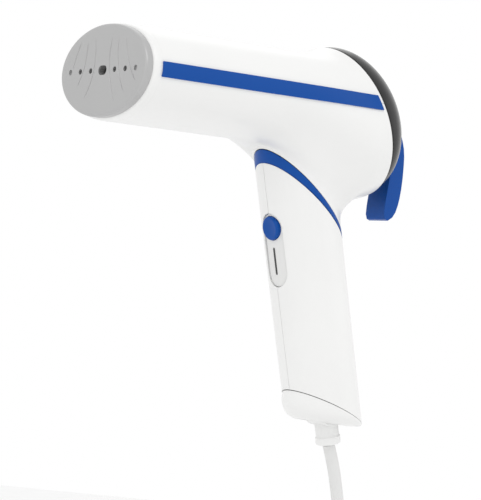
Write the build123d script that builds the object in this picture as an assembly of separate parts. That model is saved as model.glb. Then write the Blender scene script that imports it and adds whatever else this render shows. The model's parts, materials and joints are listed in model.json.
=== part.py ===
from build123d import *
import math
import os

# Foldable hand-held garment steamer.
# Row frame: X runs from the steam plate (-X) to the water tank (+X), Y is sideways, +Z is up.
# The origin is the middle of the hand grip, on the handle's own axis.

# ---- driving dimensions, in millimetres and degrees ------------------------------------------
handle_tilt = 15.8          # the handle's foot leans back from the vertical by this much
grip_to_fold = 62.0         # from the middle of the grip to the fold joint, along the handle
handle_width = 42.8         # side to side
handle_depth = 42.4         # front to back
handle_wall = 2.2
handle_length = 111.6       # from the fold joint to the oblique foot, along the handle's axis
foot_angle = 34.6           # the foot's cut, from square across the handle
foot_cap_height = 7.5

fold_lean = 54.7            # the fold axis rises to the rear by this much
fold_gap = 0.4              # between the turning faces of the fold joint
ring_front_height = 4.4     # the blue ring is a wedge, higher at its front
ring_rear_height = 1.6
ring_width = 3.0            # the ring's wall, seen along the fold axis
spigot_radius = 10.0
spigot_bore = 6.5
spigot_height = 10.2
swivel_plate = 3.0
hub_height = 6.0
running_gap = 0.1           # radial, between a shaft and its bore

plate_reach = 134.8         # fold joint to the steam plate's face, along the barrel
barrel_height = 51.7        # fold joint to the barrel's axis at the steam plate
barrel_rise = 2.0           # the barrel's axis climbs to the rear by this much
barrel_width = 80.0
barrel_depth = 50.4
barrel_spread = 4.0         # the barrel's width grows by this much towards the fold joint
head_wall = 2.4
plate_thickness = 4.0
plate_bevel = 1.2
plate_inset = 1.3           # the plate is this much smaller than the collar, all round
collar_length = 5.0
collar_wall = 5.0
gasket_length = 3.0
gasket_wall = 3.4

bulb_radius = 42.6          # the round rear end of the head
bulb_lean = 25.2            # its axis rises to the rear by this much
bulb_start = -22.0          # station where the barrel starts to turn round
bulb_band = 12.0            # length of the round band before the rim
rim_reach = 21.4            # fold joint to the middle of the rim that the tank closes
rim_height = 48.3

stripe_height = 7.4
stripe_depth = 0.8
stripe_proud = 0.25
stripe_front_gap = 6.2      # from the steam plate's face to the stripe's front end
stripe_rear_gap = 2.0       # from the rim to the stripe's rear end
seam_gap = 0.2              # between two halves of a shell

boiler_length = 28.0
boiler_gap = 1.4            # between the boiler block and the gasket's inside
boiler_cover = 3.0
steam_bore = 5.0
element_radius = 3.3
element_spread = 21.0
terminal_length = 9.0
thermostat_radius = 7.5
thermostat_height = 6.0
fuse_radius = 2.2
fuse_length = 14.0
vent_radius = 1.35
vent_slot_length = 7.3
vent_slot_width = 4.9
vent_offsets = (10.9, 20.4)
dimple_offset = 29.6
dimple_radius = 1.6

pump_radius = 11.0
pump_length = 36.0
pump_centre = -44.0         # along the barrel, from the fold joint
pump_wall = 2.4
plunger_radius = 5.0
plunger_length = 15.0
plunger_stroke = 3.0
hose_radius = 2.5
nozzle_length = 6.0

dock_thickness = 3.0
dock_bore = 6.5
tank_insert_length = 14.0
tank_insert_gap = 1.2       # between the tank's neck and the bulb's inner wall
tank_wall = 1.8
dome_depth = 24.5
dome_lip = 0.5              # the dome is this much smaller than the rim
port_drop = 14.0            # the water port lies this far below the tank's axis
port_radius = 5.4
port_length = 8.0
port_bore = 3.4
socket_length = 4.0         # of the dock's socket, ahead of the dock
valve_radius = 1.6
valve_head_radius = 2.8
seal_radius = 0.9           # section of the dock's O-ring
filler_drop = 20.0          # the filler hole lies this far below the tank's axis
filler_radius = 7.0

cap_width = 15.6
cap_cheek = 2.1             # of the cap, beside the slot for the tank's lugs
cap_hinge_drop = 8.0        # the cap's hinge lies this far below the tank's axis
cap_hinge_stand = 4.7       # the cap's hinge lies this far behind the dome's apex
cap_top_radius = 4.6
cap_gap = 0.9               # between the cap and the dome
cap_pin_radius = 1.5
lug_thickness = 2.0
# The cap's hanging lever, chosen by hand, along and across the tank's axis: (x, z).
cap_lever = [(24.0, -29.5), (20.9, -36.1), (17.4, -42.2), (14.3, -47.2), (11.8, -51.6), (9.8, -55.8),
             (9.7, -58.6), (11.2, -60.0), (14.9, -59.4), (18.0, -57.4), (20.6, -54.6), (23.3, -50.9),
             (26.0, -46.4), (28.8, -41.0), (31.5, -35.0), (33.4, -30.3), (34.6, -25.8), (35.0, -21.6),
             (35.0, -17.5), (34.7, -12.0)]

button_radius = 6.5
button_drop = 9.2           # fold joint to the steam button, along the handle
button_travel = 1.5
panel_width = 16.0
panel_length = 40.0
panel_recess = 0.9
lens_length = 15.0
lens_width = 1.7
lens_drop = 27.2
board_length = 42.0
board_width = 26.0
board_thickness = 1.6
board_depth = 9.0           # from the handle's front to the board
switch_size = (6.0, 12.0, 5.8)
actuator_radius = 1.6

knuckle_radius = 10.0
knuckle_width = 16.5
knuckle_drop = 111.7        # fold joint to the cord knuckle's pin, along the handle
knuckle_back = 1.6          # and behind the handle's axis
knuckle_side_gap = 0.5
knuckle_gap = 0.8
guard_pin_radius = 2.5
guard_neck_radius = 6.4
guard_neck_length = 10.2
guard_collar_radius = 6.9
guard_collar_length = 4.6
clamp_size = (16.0, 22.0, 7.0)
clamp_drop = 90.0

screw_radius = 1.5
screw_head_radius = 2.8
screw_length = 12.0
boss_radius = 4.6

cord_radius = 3.4
hank_turn_radius = 24.8     # middle of the turns
hank_straight = 78.0
hank_layers = 3             # strands side by side, across Y
hank_pitch = 7.2            # between neighbouring strands
tie_width = 12.0
tie_thickness = 1.6
tail_length = 34.0
plug_size = (18.0, 25.0, 34.0)
plug_neck_length = 22.0
blade_size = (1.5, 6.3, 17.0)
blade_spacing = 12.7

# The cord's free stretch, from the guard's collar to the hank, chosen by hand: (x, z).
cord_points = [(20.8, -67.3), (27.4, -84.0), (33.0, -102.0), (37.2, -121.0), (39.9, -142.0), (40.8, -162.0)]

# ---- places worked out from them -----------------------------------------------------------------
tilt = math.radians(handle_tilt)
lean = math.radians(fold_lean)
lean_back = math.radians(bulb_lean)
grip_up = Vector(-math.sin(tilt), 0, math.cos(tilt))
grip_rear = Vector(math.cos(tilt), 0, math.sin(tilt))
fold_centre = grip_up * grip_to_fold
fold_axis = Vector(math.cos(lean), 0, math.sin(lean))
fold_rear = Vector(math.sin(lean), 0, -math.cos(lean))

handle_frame = Plane(origin=fold_centre, x_dir=grip_rear, z_dir=grip_up).location
fold_frame = Plane(origin=fold_centre, x_dir=fold_rear, z_dir=fold_axis).location
head_frame = Location(fold_centre)
rim_place = Pos(rim_reach, 0, rim_height) * Rot(0, -bulb_lean, 0)
tank_frame = head_frame * rim_place

half_width = handle_width / 2
half_depth = handle_depth / 2
ring_half = half_depth / fold_axis.dot(grip_up)
rise = math.tan(math.radians(barrel_rise))
foot_slope = math.radians(foot_angle)
collar_back = -plate_reach + plate_thickness + collar_length
boiler_front = -plate_reach + plate_thickness
boiler_back = boiler_front + boiler_length
dock_front = -tank_insert_length - dock_thickness - fold_gap
dome_apex = fold_gap + dome_depth
cap_hinge = Vector(dome_apex + cap_hinge_stand, 0, -cap_hinge_drop)
hank_top = cord_points[-1][1]
hank_x = cord_points[-1][0] - hank_turn_radius
hank_centre = hank_top - hank_straight / 2
hank_half_width = hank_turn_radius + hank_pitch / 2 + cord_radius
hank_half_thickness = (hank_layers - 1) / 2 * hank_pitch + cord_radius


def axis_height(x):
    """Height of the barrel's axis above the fold joint."""
    return barrel_height + (x + plate_reach) * rise


def ellipse_at(x, z, half_y, half_z):
    """Ellipse across the barrel."""
    return Plane(origin=(x, 0, z), x_dir=(0, 1, 0), z_dir=(1, 0, 0)) * Ellipse(half_y, half_z)


def barrel_section(x, inset):
    half_y = (barrel_width + barrel_spread * (x + plate_reach) / plate_reach) / 2 - inset
    return ellipse_at(x, axis_height(x), half_y, barrel_depth / 2 - inset)


def oval(x0, x1, inset):
    """Elliptical length of the barrel between two stations, smaller by inset all round."""
    return loft([barrel_section(x0, inset), barrel_section(x1, inset)])


def round_bar(x0, x1, radius, y=0.0, z=0.0):
    """Cylinder along the barrel."""
    return Plane(origin=(x0, y, z), x_dir=(0, 1, 0), z_dir=(1, 0, 0)) * extrude(Circle(radius), x1 - x0)


def cross_bar(x, z, radius, width):
    """Cylinder from side to side, centred on Y."""
    return Pos(x, 0, z) * Rot(90, 0, 0) * Cylinder(radius, width)


def tube_path(points, radii):
    return FilletPolyline(*points, radius=radii)


def swept(path, radius):
    start = Plane(origin=path @ 0, z_dir=path % 0)
    return sweep(start * Circle(radius), path=path)


def at_tank(x, z):
    """A place given along and across the tank's axis, as seen from the fold joint."""
    return (rim_reach + x * math.cos(lean_back) - z * math.sin(lean_back), 0,
            rim_height + x * math.sin(lean_back) + z * math.cos(lean_back))


def bulb(inset):
    """Rear end of the head, from the barrel's oval to a leaning round band that passes the rim."""
    radius = bulb_radius - inset
    turned = loft([barrel_section(bulb_start, inset), rim_place * ellipse_at(-bulb_band, 0, radius, radius)])
    return turned + rim_place * round_bar(-bulb_band, dome_depth, radius)


def grip_bar(z0, z1, inset):
    """Elliptical length of the handle's own form, in the handle's frame."""
    return Pos(0, 0, z0) * extrude(Ellipse(half_depth - inset, half_width - inset), z1 - z0)


def above_fold(solid, offset=0.0):
    """What is left of a solid above the fold plane, in the row frame."""
    block = fold_frame * Pos(0, 0, offset + 200) * Box(600, 600, 400)
    return solid & block


def wedge_ring(outer_inset, inner_inset):
    """Wedge-shaped elliptical ring on the fold plane, in the fold frame."""
    ring = extrude(Ellipse(ring_half - outer_inset, half_width - outer_inset), ring_front_height + 1)
    if inner_inset is not None:
        ring -= extrude(Ellipse(ring_half - inner_inset, half_width - inner_inset), ring_front_height + 1)
    slope = math.degrees(math.atan2(ring_front_height - ring_rear_height, 2 * ring_half))
    middle = (ring_front_height + ring_rear_height) / 2
    lid = Pos(0, 0, middle) * Rot(0, slope, 0) * Pos(0, 0, 50) * Box(300, 300, 100)
    return ring - lid


def head_form(inset):
    """Outer form of the head, smaller by inset all round and open past the rim, in the row frame."""
    neck = handle_frame * grip_bar(-60, barrel_height, inset)
    return head_frame * (oval(collar_back, bulb_start, inset) + bulb(inset)) + above_fold(neck, fold_gap)


def past_rim():
    """Room behind the rim's plane."""
    return tank_frame * round_bar(0, 2 * dome_depth, 2 * bulb_radius)


def shell_half(side):
    """Upper or lower half of the head's shell, split along the barrel's axis plane."""
    skin = head_form(0) - head_form(head_wall) - past_rim()
    skin -= tank_frame * round_bar(-tank_insert_length, 1, tank_seat)
    skin -= fold_frame * Pos(0, 0, fold_gap / 2) * wedge_ring(-1, None)
    skin -= head_frame * oval(collar_back - 1, collar_back + head_wall, head_wall)
    skin -= stripe_band(0.05, 4)
    keep = head_frame * Pos(-plate_reach, 0, barrel_height) * Rot(0, -barrel_rise, 0)
    keep = keep * Pos(150, 0, side * (100 + seam_gap / 2)) * Box(400, 200, 200)
    return ((skin & keep) + shell_bosses(side)) - shell_screw_room()


def stripe_band(slack, proud_room):
    """Slab and skin depth that the two side stripes fill, in the row frame."""
    length = 2 * plate_reach
    slab = head_frame * Pos(-plate_reach, 0, barrel_height) * Rot(0, -barrel_rise, 0)
    slab = slab * Pos(stripe_front_gap - slack + length / 2, 0, 0) * Box(length, 300, stripe_height + 2 * slack)
    ahead = tank_frame * Pos(slack - stripe_rear_gap - plate_reach, 0, 0) * Box(length, 400, 400)
    return (head_form(-proud_room) & slab & ahead) - head_form(stripe_depth + slack)


tank_seat = bulb_radius - head_wall


def stripe(side):
    band = stripe_band(0, stripe_proud)
    return band & (head_frame * Pos(-50, side * 100, 50) * Box(400, 200, 400))


def collar():
    ring = oval(collar_back - collar_length, collar_back, 0)
    return head_frame * (ring - oval(collar_back - collar_length - 1, collar_back + 1, collar_wall))


def vents(length):
    """Steam holes through the plate, along the barrel."""
    tool = Pos(-plate_reach, 0, barrel_height) * Box(length, vent_slot_length, vent_slot_width)
    tool = fillet(tool.edges().filter_by(Axis.X), vent_slot_width * 0.49)
    for offset in vent_offsets:
        for side in (-1, 1):
            tool += round_bar(-plate_reach - length / 2, -plate_reach + length / 2, vent_radius,
                              side * offset, barrel_height)
    return tool


def steam_plate():
    plate = oval(-plate_reach, boiler_front, plate_inset)
    plate = chamfer(plate.faces().sort_by(Axis.X)[0].edges(), plate_bevel)
    plate -= vents(3 * plate_thickness)
    for side in (-1, 1):
        plate -= round_bar(-plate_reach - 1, -plate_reach + 0.8, dimple_radius, side * dimple_offset, barrel_height)
    return head_frame * plate


def gasket():
    ring = oval(boiler_front, boiler_front + gasket_length, collar_wall)
    return head_frame * (ring - oval(boiler_front - 1, boiler_front + gasket_length + 1, collar_wall + gasket_wall))


def element_path(extra):
    """U of the heating element, lying across the boiler block."""
    z = axis_height(boiler_front) - 2.5
    front = boiler_front + 9
    ends = boiler_back + boiler_cover + extra
    points = [(ends, -element_spread, z), (front, -element_spread, z),
              (front, element_spread, z), (ends, element_spread, z)]
    return tube_path(points, 8)


def boiler_block():
    inset = collar_wall + gasket_wall + boiler_gap
    block = oval(boiler_front, boiler_back, inset)
    block -= round_bar(boiler_front - 1, boiler_back - 5, steam_bore, 0, axis_height(boiler_front))
    gallery = Pos(boiler_front + 2.4, 0, axis_height(boiler_front)) * Box(5, 2 * vent_offsets[1] + 6, 6)
    block -= gallery
    block -= round_bar(boiler_back - 6, boiler_back + 1, hose_radius, 0, axis_height(boiler_back) - 6)
    block -= swept(element_path(1), element_radius + 0.15)
    return head_frame * block


def boiler_lid():
    inset = collar_wall + gasket_wall + boiler_gap
    lid = oval(boiler_back, boiler_back + boiler_cover, inset)
    z = axis_height(boiler_front) - 2.5
    for side in (-1, 1):
        lid -= round_bar(boiler_back - 1, boiler_back + boiler_cover + 1, element_radius + 0.3,
                         side * element_spread, z)
    inlet = axis_height(boiler_back) - 6
    lid -= round_bar(boiler_back - 1, boiler_back + boiler_cover + 1, hose_radius - 0.8, 0, inlet)
    nozzle = round_bar(boiler_back + boiler_cover, boiler_back + boiler_cover + nozzle_length, hose_radius, 0, inlet)
    nozzle -= round_bar(boiler_back, boiler_back + boiler_cover + nozzle_length + 1, hose_radius - 0.8, 0, inlet)
    return head_frame * (lid + nozzle)


def heating_element():
    return head_frame * swept(element_path(terminal_length), element_radius)


def thermostat():
    x = boiler_back + boiler_cover
    z = axis_height(x) + 4
    disc = round_bar(x, x + thermostat_height, thermostat_radius, 9, z)
    for side in (-1, 1):
        disc += Pos(x + thermostat_height + 3, 9 + side * 4, z) * Box(6, 0.8, 4)
    return head_frame * disc


def thermal_fuse():
    x = boiler_back + boiler_cover
    z = axis_height(x) + 6
    body = Pos(x + fuse_radius, -11, z) * Rot(90, 0, 0) * Cylinder(fuse_radius, fuse_length)
    return head_frame * body


def pump_axis():
    return axis_height(pump_centre) + 1


def pump_body():
    x0 = pump_centre - pump_length / 2
    x1 = pump_centre + pump_length / 2
    z = pump_axis()
    body = round_bar(x0, x1, pump_radius, 0, z)
    body -= round_bar(x0 + pump_wall, x1 - pump_wall, plunger_radius + 0.4, 0, z)
    for a, b in ((x0 - nozzle_length, x0 + pump_wall + 1), (x1 - pump_wall - 1, x1 + nozzle_length)):
        body += round_bar(a, b, hose_radius, 0, z) - round_bar(x0 + pump_wall, x1 - pump_wall, plunger_radius, 0, z)
        body -= round_bar(a - 1, b + 1, hose_radius - 1.0, 0, z)
    return head_frame * body


def pump_cradle():
    """Two saddles that hold the pump in the lower shell."""
    saddles = None
    for x in (pump_centre - 11, pump_centre + 11):
        slab = Pos(x, 0, pump_axis() - 13) * Box(2.4, 30, 26)
        slab -= round_bar(x - 5, x + 5, pump_radius + 0.05, 0, pump_axis())
        saddles = slab if saddles is None else saddles + slab
    return (head_frame * saddles) & head_form(head_wall)


def pump_plunger():
    x = pump_centre - pump_length / 2 + pump_wall + plunger_stroke + 1
    return head_frame * round_bar(x, x + plunger_length, plunger_radius, 0, pump_axis())


def coil_spring(wire, radius, height, turns):
    """Round-wire compression spring, standing on its base along Z."""
    helix = Helix(pitch=(height - 2 * wire) / turns, height=height - 2 * wire, radius=radius)
    start = Plane(origin=helix @ 0, z_dir=helix % 0)
    return Pos(0, 0, wire) * sweep(start * Circle(wire), path=helix)


def pump_spring():
    x0 = pump_centre - pump_length / 2 + pump_wall + plunger_stroke + 1 + plunger_length + 0.3
    x1 = pump_centre + pump_length / 2 - pump_wall - 0.1
    spring = coil_spring(0.45, plunger_radius - 0.9, x1 - x0, 5)
    return head_frame * Pos(x0, 0, pump_axis()) * Rot(0, 90, 0) * spring


def hose(points, radii):
    path = tube_path(points, radii)
    return head_frame * (swept(path, hose_radius + 1.3) - swept(path, hose_radius))


def boiler_hose():
    """From the pump to the boiler, pushed over both nozzles."""
    x0 = boiler_back + boiler_cover + 0.5
    x1 = pump_centre - pump_length / 2 - 0.5
    z0 = axis_height(boiler_back) - 6
    z1 = pump_axis()
    return hose([(x0, 0, z0), (x0 + 9, 0, z0), (x1 - 9, 0, z1), (x1, 0, z1)], 5)


def tank_hose():
    """From the dock's port to the pump."""
    x0 = pump_centre + pump_length / 2 + 0.5
    x1 = dock_front - socket_length - 0.5
    z0 = pump_axis()
    return hose([(x0, 0, z0), (x0 + 9, 0, z0), at_tank(x1 - 9, -port_drop), at_tank(x1, -port_drop)], 5)


def tank_dock():
    """Bulkhead across the bulb, with the socket for the tank's port."""
    disc = tank_frame * round_bar(dock_front, dock_front + dock_thickness, bulb_radius)
    disc = tank_frame.inverse() * (disc & head_form(head_wall + 0.05))
    disc += round_bar(dock_front - socket_length, dock_front + dock_thickness, dock_bore + 2, 0, -port_drop)
    disc -= round_bar(dock_front - 2, dock_front + dock_thickness + 1, dock_bore, 0, -port_drop)
    tip = dock_front - socket_length - nozzle_length
    disc += round_bar(tip, dock_front - socket_length + 1, hose_radius, 0, -port_drop)
    disc -= round_bar(tip - 1, dock_front, hose_radius - 1.0, 0, -port_drop)
    disc -= round_bar(dock_front - 1, dock_front + dock_thickness + 1, 7, 0, 12)
    disc -= seal_ring(seal_radius + 0.05)
    return tank_frame * disc


def seal_ring(section):
    ring = Torus(port_radius + seal_radius + 0.12, section)
    return Pos(dock_front + dock_thickness - 1.3, 0, -port_drop) * Rot(0, 90, 0) * ring


def dock_seal():
    """O-ring in the dock's socket."""
    return tank_frame * seal_ring(seal_radius)


def dock_pin():
    """Pin in the socket that holds the tank's valve open."""
    x = dock_front - 1.9
    spider = round_bar(x, x + 1, dock_bore - 0.1, 0, -port_drop)
    for angle in (45, 135, 225, 315):
        dy = 3.9 * math.cos(math.radians(angle))
        dz = 3.9 * math.sin(math.radians(angle))
        spider -= round_bar(x - 1, x + 2, 1.3, dy, dz - port_drop)
    return tank_frame * (spider + round_bar(x, x + 1.9, 1.2, 0, -port_drop))


def dome_reach(drop):
    """Station of the dome's outer face, this far below the tank's axis."""
    return fold_gap + dome_depth * math.sqrt(1 - (drop / (bulb_radius - dome_lip)) ** 2)


def tank_form(front, neck_radius, shoulder, dome_radius, depth):
    """Round neck with a half ellipsoid behind its shoulder, turned about the tank's axis."""
    with BuildPart() as turned:
        with BuildSketch(Plane.XZ):
            with BuildLine():
                Polyline((shoulder + depth, 0), (front, 0), (front, neck_radius), (shoulder, neck_radius))
                if dome_radius > neck_radius:
                    Line((shoulder, neck_radius), (shoulder, dome_radius))
                arc = [(shoulder + depth * math.sin(math.radians(a)), dome_radius * math.cos(math.radians(a)))
                       for a in (0, 22, 45, 67, 90)]
                Spline(arc, tangents=[(1, 0), (0, -1)])
            make_face()
        revolve(axis=Axis.X)
    return turned.part


def tank_neck():
    return tank_seat - tank_insert_gap


def cap_lug_width():
    return cap_width - 2 * cap_cheek - 1.0


def water_tank():
    """Dome and neck of the tank, open towards the head."""
    x0 = fold_gap
    front = -tank_insert_length + tank_wall
    inner = tank_neck() - tank_wall
    body = tank_form(front, tank_neck(), x0, bulb_radius - dome_lip, dome_depth)
    hollow = tank_form(front - 1, inner, x0, inner, dome_depth - tank_wall)
    body -= hollow
    body -= round_bar(x0, x0 + 40, filler_radius, 0, -filler_drop)
    for side in (-1, 1):
        y = side * (cap_lug_width() / 2 - lug_thickness / 2)
        lug = Pos(cap_hinge.X, y, cap_hinge.Z) * Rot(90, 0, 0) * Cylinder(cap_pin_radius + 1.8, lug_thickness)
        lug += Pos(cap_hinge.X - 6, y, cap_hinge.Z) * Box(12, lug_thickness, 2 * cap_pin_radius + 2.6)
        body += lug - hollow
    body -= Pos(cap_hinge.X, 0, cap_hinge.Z) * Rot(90, 0, 0) * Cylinder(cap_pin_radius, 30)
    return tank_frame * body


def tank_front():
    """Front wall of the tank, with the port that plugs into the dock."""
    x0 = -tank_insert_length
    wall = round_bar(x0, x0 + tank_wall, tank_neck())
    wall += round_bar(dock_front + 0.6, x0, port_radius, 0, -port_drop)
    wall -= round_bar(dock_front, x0 + tank_wall + 1, port_bore, 0, -port_drop)
    return tank_frame * wall


def tank_valve():
    """Sprung valve stem in the tank's port, held open by the dock's pin."""
    x0 = dock_front + 0.4
    stem = round_bar(x0, x0 + 9, valve_radius, 0, -port_drop)
    stem += round_bar(x0 + 9, x0 + 10.6, valve_head_radius, 0, -port_drop)
    return tank_frame * stem


def cap_profile():
    """Side outline of the filler cap: it hugs the dome and ends below the rim."""
    hinge = (cap_hinge.X, cap_hinge.Z)
    hug = [(dome_reach(drop) + cap_gap, -drop) for drop in (13, 17, 21, 25)]
    outline = [(hinge[0] - 3.4, hinge[1] - 3.0), *hug, *cap_lever, (hinge[0] + cap_top_radius, hinge[1])]
    return make_face(Polyline(*outline, close=True)) + Pos(*hinge) * Circle(cap_top_radius)


def filler_cap():
    """Lever cap over the tank's filler hole, hinged at its top."""
    body = extrude(Plane.XZ * cap_profile(), cap_width / 2, both=True)
    slot = Pos(cap_hinge.X + 3.5 - 10, 0, cap_hinge.Z) * Box(20, cap_lug_width() + 1.0, 12)
    body -= slot
    body -= cross_bar(cap_hinge.X, cap_hinge.Z, cap_pin_radius + running_gap, 40)
    body -= round_bar(dome_apex - 14, dome_apex + 4, 4.1, 0, -filler_drop)
    body -= round_bar(dome_apex - 14, dome_apex - 2.5, 5.4, 0, -filler_drop)
    return tank_frame * body


def filler_plug():
    """Rubber stopper on the cap, closing the filler hole."""
    z = -filler_drop
    stem = round_bar(dome_apex - 3, dome_apex + 4, 4.0, 0, z)
    disc = round_bar(dome_apex - 6.6, dome_apex - 2.9, 5.0, 0, z)
    return tank_frame * (stem + disc)


def cap_pin():
    return tank_frame * cross_bar(cap_hinge.X, cap_hinge.Z, cap_pin_radius - 0.02, cap_width - 2.4)


def swivel_ring():
    return fold_frame * Pos(0, 0, fold_gap / 2) * wedge_ring(0, ring_width)


def swivel_hub():
    """Plate inside the blue ring that turns on the handle's spigot."""
    hub = extrude(Ellipse(ring_half - ring_width - 0.1, half_width - ring_width - 0.1), hub_height)
    hub = Pos(0, 0, fold_gap + 1.2) * hub
    hub -= Cylinder(spigot_radius + running_gap, 60)
    inside = above_fold(handle_frame * grip_bar(-60, 60, ring_width + 0.15), 0)
    return (fold_frame * hub) & inside


def retaining_ring():
    """Circlip on the spigot, over the hub."""
    z = fold_gap + 1.2 + hub_height + 0.3
    clip = Pos(0, 0, z + 0.6) * Cylinder(spigot_radius + 2.2, 1.2)
    return fold_frame * (clip - Pos(0, 0, z + 0.6) * Cylinder(spigot_radius - 0.7, 3))


def friction_washer():
    washer = Pos(0, 0, fold_gap + 0.1) * Cylinder(spigot_radius + 4, 0.8)
    return fold_frame * (washer - Cylinder(spigot_radius + 0.3, 6))


def swivel_spigot():
    """Closing plate of the handle's top, with the hollow shaft of the fold joint."""
    plate = Pos(0, 0, -swivel_plate - fold_gap / 2) * extrude(
        Ellipse(ring_half - 1.2, half_width - 1.2), swivel_plate)
    shaft = Pos(0, 0, -swivel_plate) * extrude(Circle(spigot_radius), spigot_height + swivel_plate)
    groove_z = fold_gap + 1.2 + hub_height + 0.9
    groove = Pos(0, 0, groove_z) * (Cylinder(spigot_radius + 1, 1.3) - Cylinder(spigot_radius - 0.75, 3))
    spigot = plate + shaft - Cylinder(spigot_bore, 80) - groove
    return fold_frame * spigot & (handle_frame * grip_bar(-60, 60, 0.6))


def foot_cut(offset=0.0):
    """Everything below the handle's oblique foot, in the handle's frame."""
    place = Pos(0, 0, -handle_length - offset) * Rot(0, foot_angle, 0)
    return place * Pos(0, 0, -100) * Box(400, 200, 200)


def handle_half(side):
    """One side shell of the handle."""
    length = handle_length + 40
    shell = grip_bar(-length, 60, 0) - grip_bar(-length - 1, 61, handle_wall)
    shell -= foot_cut()
    for z in (-40, -72, -100):
        shell += screw_post(z) - foot_cut(2)
    shell -= panel_cut()
    shell -= screw_tool()
    shell = handle_frame * shell
    shell -= fold_frame * Pos(0, 0, 100 - fold_gap / 2) * Box(400, 200, 200)
    shell -= fold_frame * Pos(0, 0, -swivel_plate - fold_gap / 2) * extrude(
        Ellipse(ring_half - 1.15, half_width - 1.15), swivel_plate + 5)
    keep = handle_frame * Pos(0, side * (100 + seam_gap / 2), 0) * Box(400, 200, 600)
    return shell & keep


def screw_x():
    return half_depth - handle_wall - boss_radius - 1.4


def screw_post(z):
    """Screw boss near the handle's back wall, running from side to side."""
    post = Pos(screw_x(), 0, z) * Rot(90, 0, 0) * Cylinder(boss_radius, handle_width)
    rib = Pos(screw_x() + boss_radius + 2, 0, z) * Box(6, handle_width, 1.6)
    return (post + rib) & grip_bar(-200, 60, 0.5)


def screw_tool():
    tool = None
    for z in (-40, -72, -100):
        hole = Pos(screw_x(), 0, z) * Rot(90, 0, 0) * Cylinder(screw_radius, screw_length + 0.6)
        head = Pos(screw_x(), screw_length / 2 + 20, z) * Rot(90, 0, 0) * Cylinder(screw_head_radius + 0.3, 40)
        tool = hole + head if tool is None else tool + hole + head
    return tool


def handle_screws():
    group = []
    for z in (-40, -72, -100):
        shank = Pos(screw_x(), 0, z) * Rot(90, 0, 0) * Cylinder(screw_radius, screw_length)
        head = Pos(screw_x(), screw_length / 2 + 1.0, z) * Rot(90, 0, 0) * Cylinder(screw_head_radius, 2.0)
        group.append(handle_frame * (shank + head))
    return Compound(children=group)


def capsule(length, width, depth):
    """Capsule on the handle's front, its flat depth running into the handle."""
    face = SlotOverall(length, width) if length > width else Circle(width / 2)
    return Rot(0, 90, 0) * extrude(face, depth)


def panel_centre():
    return -(button_drop - panel_width / 2 + panel_length / 2)


def panel_cut():
    return Pos(-half_depth - 1, 0, panel_centre()) * capsule(panel_length, panel_width, handle_wall + 3.4)


def front_panel():
    """Capsule-shaped inset on the handle's front, round the button and the lamp."""
    panel = Pos(-half_depth + 0.1, 0, panel_centre()) * capsule(panel_length - 0.2, panel_width - 0.2, 3.2)
    panel = panel & grip_bar(-200, 60, panel_recess)
    panel -= Pos(-half_depth - 1, 0, -button_drop) * capsule(1, 2 * button_radius + 0.6, 20)
    panel -= Pos(-half_depth - 1, 0, -lens_drop) * capsule(lens_length + 0.1, lens_width + 0.1, 20)
    return handle_frame * panel


def led_lens():
    lens = Pos(-half_depth + panel_recess - 0.15, 0, -lens_drop) * capsule(lens_length, lens_width, 3.4)
    return handle_frame * lens


def steam_button():
    """Round push button with a slight dome."""
    button = Pos(-half_depth - 0.6, 0, -button_drop) * capsule(1, 2 * button_radius, 5.0)
    button = fillet(button.faces().sort_by(Axis.X)[0].edges(), 0.9)
    button += Pos(-half_depth + 4.4, 0, -button_drop) * capsule(1, 2 * actuator_radius, 1.3)
    return handle_frame * button


def switch_front():
    return -half_depth + board_depth - switch_size[2]


def control_board():
    x = -half_depth + board_depth + board_thickness / 2
    z = -button_drop - board_length / 2 + 11
    return handle_frame * Pos(x, 0, z) * Box(board_thickness, board_width, board_length)


def micro_switch():
    block = Pos(-half_depth + board_depth - switch_size[2] / 2 + 1.5, 0, -button_drop)
    block = block * Box(switch_size[2] - 3.0, switch_size[1], switch_size[0] + 2)
    block -= Pos(switch_front(), 0, -button_drop) * Rot(0, 90, 0) * Cylinder(
        actuator_radius + 0.15, 2 * switch_size[2] - 0.1)
    return handle_frame * block


def switch_actuator():
    x = -half_depth + 5.9
    pin = Pos(x, 0, -button_drop) * capsule(1, 2 * actuator_radius, 1.2)
    return handle_frame * pin


def board_parts():
    """Relay and terminal block on the control board."""
    x = -half_depth + board_depth + board_thickness
    relay = Pos(x + 4, 4, -button_drop - 14) * Box(8, 12, 14)
    block = Pos(x + 3.5, -6, -button_drop - 24) * Box(7, 10, 8)
    return Compound(children=[handle_frame * relay, handle_frame * block])


def foot_cap():
    """End cap of the handle, with the ears that hold the cord's knuckle."""
    top = Pos(0, 0, -handle_length - 0.1) * Rot(0, foot_angle, 0)
    wide = (half_depth / math.cos(foot_slope) - 0.3, half_width - 0.3)
    rim = top * Ellipse(*wide)
    place = Pos(-2.5, 0, -handle_length - foot_cap_height) * Rot(0, foot_angle * 0.55, 0)
    tip = place * Ellipse(half_depth * 0.72, half_width * 0.66)
    body = loft([rim, tip])
    plug = top * extrude(Ellipse(wide[0] - handle_wall - 0.3, wide[1] - handle_wall), 5)
    body += plug & grip_bar(-300, 60, handle_wall + 0.15)
    pivot = Pos(knuckle_back, 0, -knuckle_drop)
    room = pivot * Rot(90, 0, 0) * Cylinder(knuckle_radius + knuckle_gap, knuckle_width + 2 * knuckle_side_gap)
    sweep_room = pivot * Pos(0, 0, -20) * Box(34, knuckle_width + 2 * knuckle_side_gap, 40)
    body -= room
    body -= sweep_room
    body -= pivot * Rot(90, 0, 0) * Cylinder(guard_pin_radius, handle_width)
    return handle_frame * body


def guard_pin():
    length = knuckle_width + 2 * knuckle_side_gap + 8
    return handle_frame * Pos(knuckle_back, 0, -knuckle_drop) * Rot(90, 0, 0) * Cylinder(guard_pin_radius - 0.02, length)


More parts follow.
